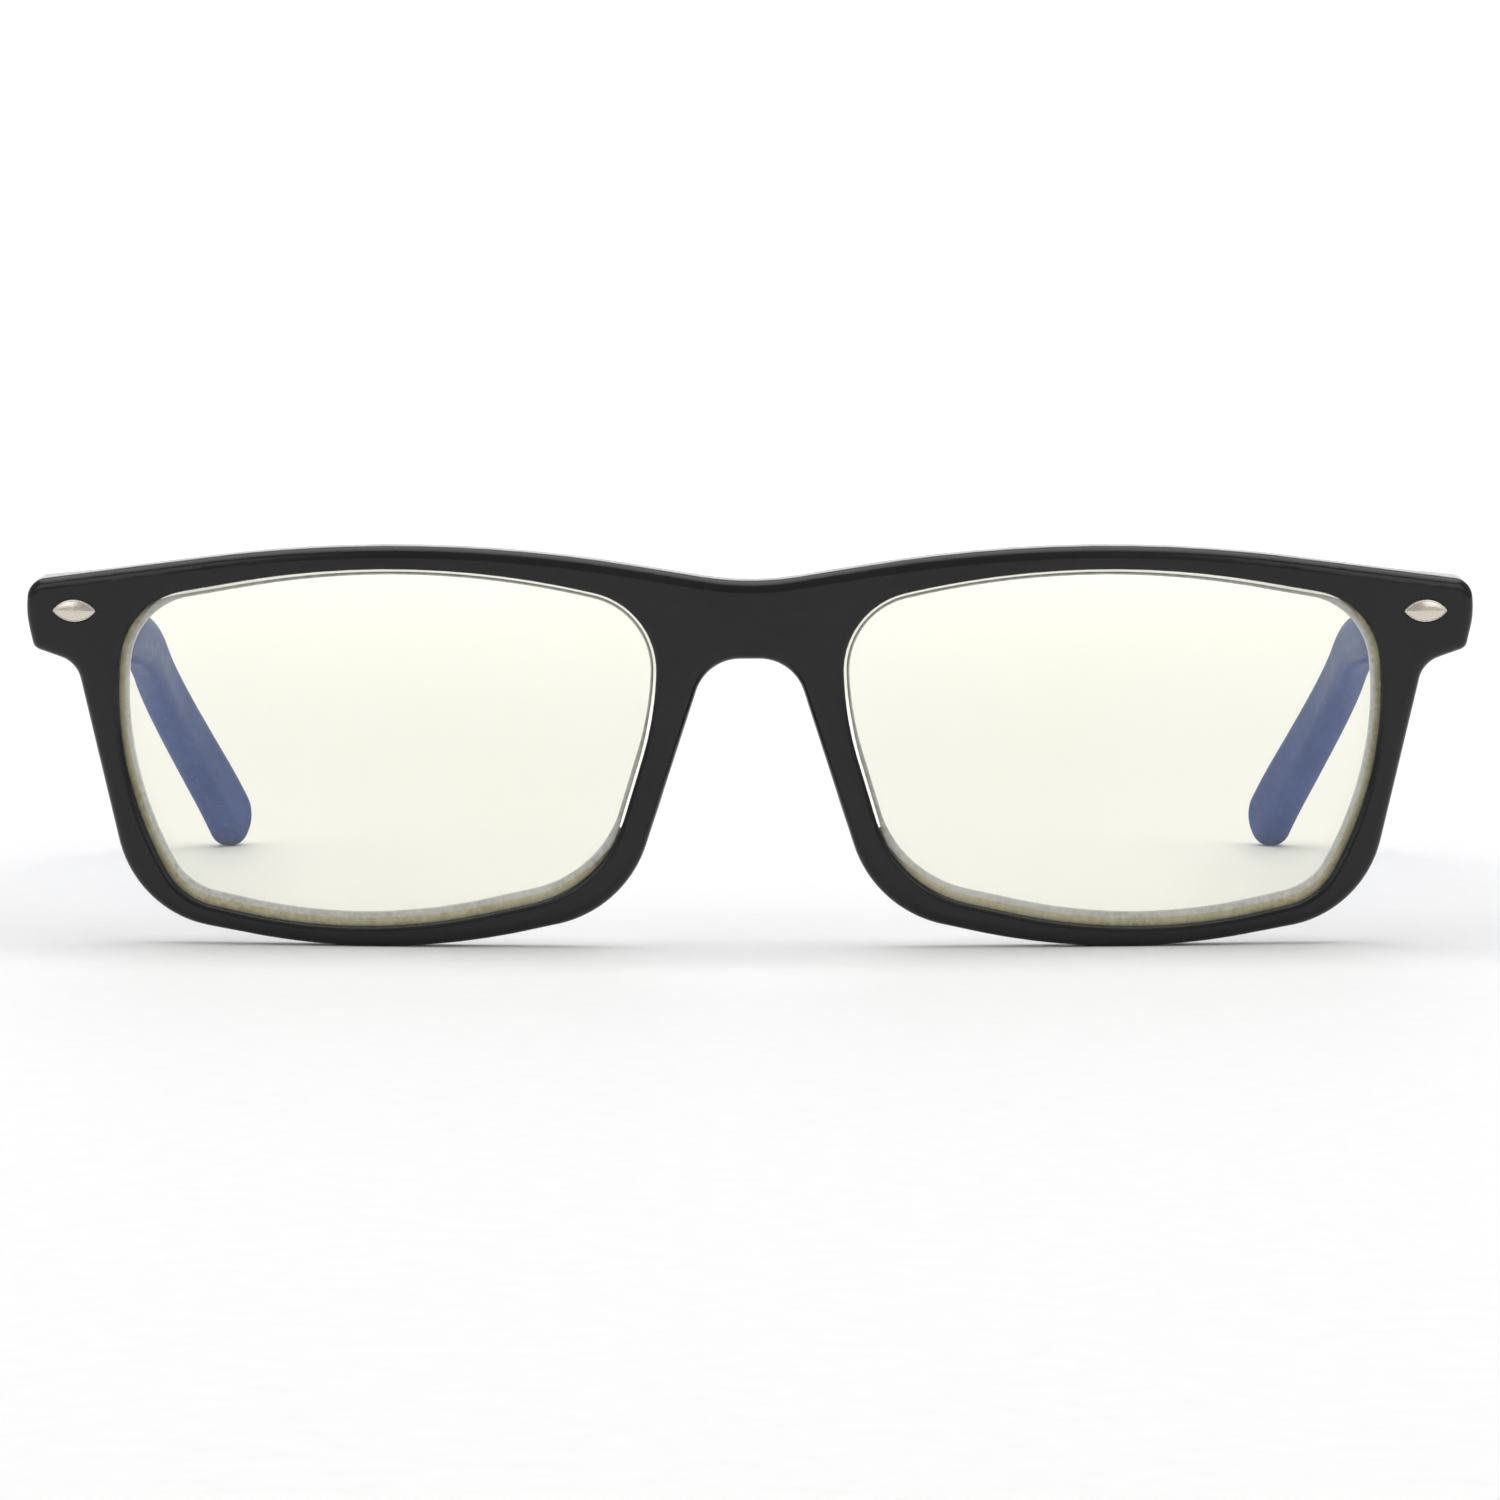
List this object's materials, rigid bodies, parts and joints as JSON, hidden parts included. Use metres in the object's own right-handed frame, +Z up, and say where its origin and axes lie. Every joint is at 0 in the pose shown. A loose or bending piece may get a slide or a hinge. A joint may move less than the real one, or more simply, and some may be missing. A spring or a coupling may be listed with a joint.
{
  "type": "eyeglasses",
  "caption": "Rectangular glasses with a glossy black front, pale tinted lenses, oval metal pins and solid blue spring-hinged temples.",
  "frame": {"origin": "middle of the underside of the bounding box: the table between the rims and the temple tips, with the glasses open", "axes": "+Z up; the front faces -Y and the temples reach back towards +Y; +X is the wearer's left"},
  "size_m": [0.1382, 0.1456, 0.0383],
  "materials": {
    "black_front": "deep black, moulded and polished",
    "blue_temple": "solid slate blue, satin gloss with fine glitter in the plastic",
    "clear_lens": "clear plastic with a pale yellow filter tint, ground frosted edge",
    "polished_pin": "polished, domed",
    "hinge_metal": "nickel-plated, fine satin",
    "screw_steel": "plain steel",
    "spring_steel": "drawn spring wire",
    "bush_brass": "turned brass"
  },
  "bodies": {
    "front": {"front_frame": "black_front", "left_lens": "clear_lens", "right_lens": "clear_lens", "left_decorative_pin": "polished_pin", "right_decorative_pin": "polished_pin", "left_hinge_leaf": "hinge_metal", "right_hinge_leaf": "hinge_metal", "left_hinge_screw": "screw_steel", "right_hinge_screw": "screw_steel"},
    "left_slide_unit": {"left_hinge_slider": "hinge_metal", "left_spring_washer": "screw_steel"},
    "left_arm": {"left_temple": "blue_temple", "left_spring_housing": "hinge_metal", "left_stop_bush": "bush_brass", "left_spring": "spring_steel"},
    "right_slide_unit": {"right_hinge_slider": "hinge_metal", "right_spring_washer": "screw_steel"},
    "right_arm": {"right_temple": "blue_temple", "right_spring_housing": "hinge_metal", "right_stop_bush": "bush_brass", "right_spring": "spring_steel"}
  },
  "joints": [
    {"name": "left_fold", "type": "hinge", "parent": "front", "child": "left_slide_unit", "pos_m": [0.0635, -0.05481, 0.03133], "axis": [0, 0.0819, 0.9966], "range_deg": [-8, 90]},
    {"name": "left_spring_slide", "type": "slide", "parent": "left_slide_unit", "child": "left_arm", "axis": [0, 0.9966, -0.0819], "range_m": [0, 0.0012], "stiffness_N_per_m": 1000, "deforming": ["left_spring"]},
    {"name": "right_fold", "type": "hinge", "parent": "front", "child": "right_slide_unit", "pos_m": [-0.0635, -0.05481, 0.03133], "axis": [0, -0.0819, -0.9966], "range_deg": [-8, 82]},
    {"name": "right_spring_slide", "type": "slide", "parent": "right_slide_unit", "child": "right_arm", "axis": [0, 0.9966, -0.0819], "range_m": [0, 0.0012], "stiffness_N_per_m": 1000, "deforming": ["right_spring"]}
  ]
}
